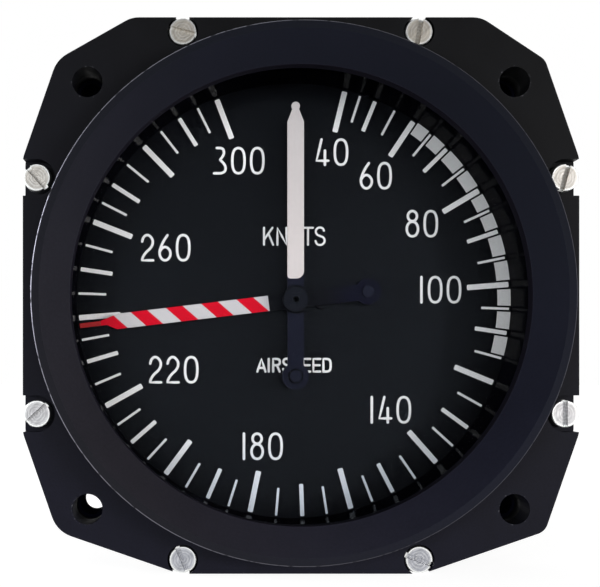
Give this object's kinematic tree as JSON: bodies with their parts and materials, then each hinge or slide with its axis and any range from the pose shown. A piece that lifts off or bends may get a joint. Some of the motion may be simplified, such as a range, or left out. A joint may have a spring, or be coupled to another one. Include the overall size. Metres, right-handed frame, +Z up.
{
  "type": "airspeed indicator",
  "caption": "Panel-mounted round-dial airspeed indicator with a white hand, a striped limit hand and pitot and static ports behind.",
  "frame": {"origin": "centre of the four panel screw holes, on the front face of the flange that lies against the back of the panel", "axes": "+Y along the dial axis, into the panel; +Z up the dial; +X to the right as seen by someone who reads the dial"},
  "size_m": [0.0818, 0.1, 0.0818],
  "materials": {
    "flange_black": "satin black paint",
    "ring_black": "satin black paint, slightly blue",
    "screw_steel": "turned head, nickel plated",
    "glass": "clear, polished",
    "gasket_rubber": "matt",
    "surround_gloss": "glossy black",
    "dial_black": "matt black paint with white marks",
    "black_brass": "matt black paint on brass",
    "airspeed_hand": "matt white paint, black tail",
    "limit_hand": "red and white stripes, black tail",
    "case_black": "wrinkle black paint",
    "brass": "turned",
    "aluminium": "anodised",
    "steel": "turned",
    "capsule_bronze": "beryllium copper sheet"
  },
  "bodies": {
    "case": {"bezel_flange": "flange_black", "bezel_ring": "ring_black", "bezel_screws": "screw_steel", "cover_glass": "glass", "glass_gaskets": "gasket_rubber", "dial_surround": "surround_gloss", "dial_plate": "dial_black", "dial_screws": "black_brass", "case_shell": "case_black", "flange_seal": "gasket_rubber", "mount_inserts": "black_brass", "rear_gasket": "gasket_rubber", "rear_cover": "case_black", "rear_cover_screws": "screw_steel", "pitot_port": "aluminium", "static_port": "aluminium", "port_seals": "gasket_rubber", "front_plate": "aluminium", "rear_plate": "aluminium", "frame_pillars": "brass", "front_plate_screws": "steel", "standoffs": "aluminium", "standoff_screws": "screw_steel", "staff_bushing": "brass", "rear_bushing": "brass", "rocker_brackets": "brass", "pitot_capsule": "capsule_bronze", "capsule_stem": "brass", "pitot_tube": "brass", "aneroid_capsule": "capsule_bronze", "aneroid_post": "brass", "hairspring": "capsule_bronze", "hairspring_stud": "brass"},
    "airspeed_hand": {"airspeed_staff": "steel", "airspeed_hub": "black_brass", "airspeed_hand": "airspeed_hand", "airspeed_counterweight": "black_brass", "hairspring_collet": "brass"},
    "airspeed_sector": {"airspeed_sector": "brass", "airspeed_sector_shaft": "steel", "airspeed_lever": "steel"},
    "airspeed_rocker": {"airspeed_rocker": "steel"},
    "capsule_yoke": {"capsule_yoke": "brass"},
    "limit_hand": {"limit_staff": "steel", "limit_hub": "black_brass", "limit_hand": "limit_hand", "limit_counterweight": "black_brass"},
    "limit_sector": {"limit_sector": "brass", "limit_sector_shaft": "steel", "limit_lever": "steel"},
    "limit_rocker": {"limit_rocker": "steel"},
    "aneroid_link": {"aneroid_link": "brass"}
  },
  "joints": [
    {"name": "airspeed_sector_turn", "type": "hinge", "parent": "case", "child": "airspeed_sector", "pos_m": [0, 0, -0.0195], "axis": [0, 1, 0], "range_deg": [-28.75, 0], "stiffness_Nm_per_rad": 0.02},
    {"name": "airspeed_hand_turn", "type": "hinge", "parent": "case", "child": "airspeed_hand", "pos_m": [0, 0, 0], "axis": [0, 1, 0], "range_deg": [0, 345.01], "deforming": ["hairspring"]},
    {"name": "airspeed_rocker_turn", "type": "hinge", "parent": "case", "child": "airspeed_rocker", "pos_m": [0, 0.038, -0.0209], "axis": [1, 0, 0], "range_deg": [-37.38, 0]},
    {"name": "capsule_travel", "type": "slide", "parent": "case", "child": "capsule_yoke", "axis": [0, -1, 0], "range_m": [0, 0.00288], "deforming": ["pitot_capsule"]},
    {"name": "limit_sector_turn", "type": "hinge", "parent": "case", "child": "limit_sector", "pos_m": [0, 0, 0.0168], "axis": [0, 1, 0], "range_deg": [-1.67, 20], "stiffness_Nm_per_rad": 0.02},
    {"name": "limit_hand_turn", "type": "hinge", "parent": "case", "child": "limit_hand", "pos_m": [0, 0, 0], "axis": [0, 1, 0], "range_deg": [-120.01, 10.01]},
    {"name": "limit_rocker_turn", "type": "hinge", "parent": "case", "child": "limit_rocker", "pos_m": [0, 0.038, 0.0182], "axis": [1, 0, 0], "range_deg": [-1.93, 23]},
    {"name": "aneroid_travel", "type": "slide", "parent": "case", "child": "aneroid_link", "axis": [0, -1, 0], "range_m": [-0.00013, 0.00159], "deforming": ["aneroid_capsule"]}
  ],
  "couplings": [
    {"joint": "airspeed_hand_turn", "follows": "airspeed_sector_turn", "ratio": -12},
    {"joint": "airspeed_rocker_turn", "follows": "airspeed_sector_turn", "ratio": 1.3},
    {"joint": "capsule_travel", "follows": "airspeed_sector_turn", "m_per_rad": -0.0057468},
    {"joint": "limit_hand_turn", "follows": "limit_sector_turn", "ratio": -6},
    {"joint": "limit_rocker_turn", "follows": "limit_sector_turn", "ratio": 1.15},
    {"joint": "aneroid_travel", "follows": "limit_sector_turn", "m_per_rad": 0.0045638}
  ]
}
